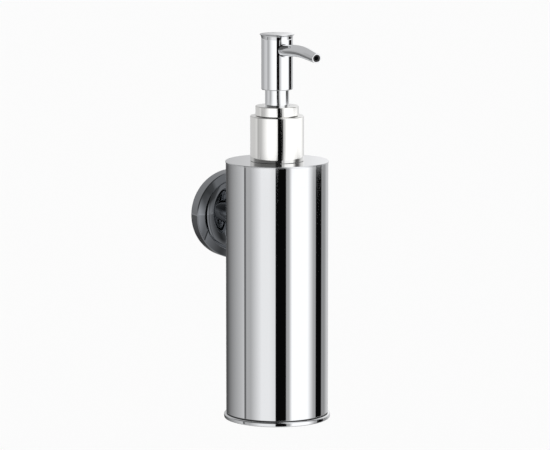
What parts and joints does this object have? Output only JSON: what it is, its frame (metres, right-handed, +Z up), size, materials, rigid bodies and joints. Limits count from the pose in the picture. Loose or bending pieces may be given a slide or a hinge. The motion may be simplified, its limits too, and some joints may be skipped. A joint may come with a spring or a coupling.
{
  "type": "wall mounted soap dispenser",
  "caption": "Slim chromed cylinder on a round wall rosette, with a bottle inside and a press pump whose spout reaches forward.",
  "frame": {"origin": "centre of the wall plate's back face, where it lies on the wall", "axes": "+Z up along the case, +Y into the wall, so the spout points along -Y"},
  "size_m": [0.0574, 0.1085, 0.2085],
  "materials": {
    "chrome": "mirror polished chrome plate",
    "chrome_wall": "mirror polished chrome plate, seen dark against the wall",
    "chrome_collar": "mirror polished nickel and chrome plate, slightly warm",
    "zinc": "bare die-cast zinc",
    "steel": "stainless steel",
    "spring_steel": "bright stainless wire",
    "bottle_plastic": "milky polyethylene",
    "pump_plastic": "white moulded polypropylene",
    "tube_plastic": "clear-white extruded polyethylene",
    "nozzle_plastic": "black moulded plastic",
    "seal_rubber": "black rubber"
  },
  "bodies": {
    "case": {"wall_plate": "zinc", "rosette": "chrome_wall", "neck": "chrome_wall", "grub_screw": "steel", "arm_bolt": "steel", "saddle_plate": "steel", "case_tube": "chrome", "top_plate": "chrome", "base_cap": "chrome", "base_seal": "seal_rubber", "bottle": "bottle_plastic"},
    "pump": {"pump_housing": "pump_plastic", "mouth_gasket": "seal_rubber", "guide_cap": "chrome_collar", "dip_tube": "tube_plastic", "return_spring": "spring_steel"},
    "inlet_valve": {"inlet_ball": "steel"},
    "collar": {"closure_insert": "pump_plastic", "collar_shell": "chrome_collar"},
    "plunger": {"piston": "pump_plastic"},
    "outlet_valve": {"outlet_ball": "steel"},
    "head": {"plunger_stem": "pump_plastic", "stem_sleeve": "chrome", "head_core": "pump_plastic", "head_shell": "chrome", "head_cap": "chrome", "spout": "chrome", "nozzle_sleeve": "nozzle_plastic"}
  },
  "joints": [
    {"name": "pump_lift", "type": "slide", "parent": "case", "child": "pump", "axis": [0, 0, 1], "range_m": [0, 0.15]},
    {"name": "collar_turn", "type": "hinge", "parent": "pump", "child": "collar", "pos_m": [0, -0.0595, 0.0485], "axis": [0, 0, 1], "continuous": true},
    {"name": "inlet_lift", "type": "slide", "parent": "pump", "child": "inlet_valve", "axis": [0, 0, 1], "range_m": [0, 0.0015]},
    {"name": "head_press", "type": "slide", "parent": "pump", "child": "plunger", "axis": [0, 0, -1], "range_m": [0, 0.008], "stiffness_N_per_m": 900, "springref_m": -0.005, "deforming": ["return_spring"]},
    {"name": "outlet_lift", "type": "slide", "parent": "plunger", "child": "outlet_valve", "axis": [0, 0, 1], "range_m": [0, 0.0015]},
    {"name": "head_swivel", "type": "hinge", "parent": "plunger", "child": "head", "pos_m": [0, -0.0595, 0.09], "axis": [0, 0, 1], "continuous": true}
  ]
}
